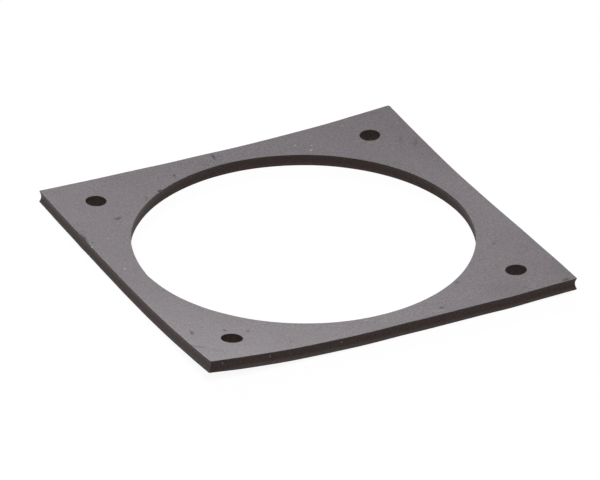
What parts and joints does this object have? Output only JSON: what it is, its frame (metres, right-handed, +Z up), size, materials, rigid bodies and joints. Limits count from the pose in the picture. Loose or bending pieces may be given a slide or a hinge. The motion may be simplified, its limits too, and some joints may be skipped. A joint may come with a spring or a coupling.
{
  "type": "oven gasket",
  "caption": "Square rubber sheet gasket with a large round opening and bolt holes in its corners, to seal a round duct or flange on an oven.",
  "frame": {"origin": "on the axis of the round opening, in the plane that the gasket lies on", "axes": "+Z up through the thickness, along the opening and the bolt holes; +X along the front edge, towards the right; +Y from the front edge to the back edge"},
  "size_m": [0.1019, 0.1013, 0.0067],
  "materials": {
    "rubber": "matte"
  },
  "bodies": {
    "root": {"gasket": "rubber"}
  },
  "joints": []
}
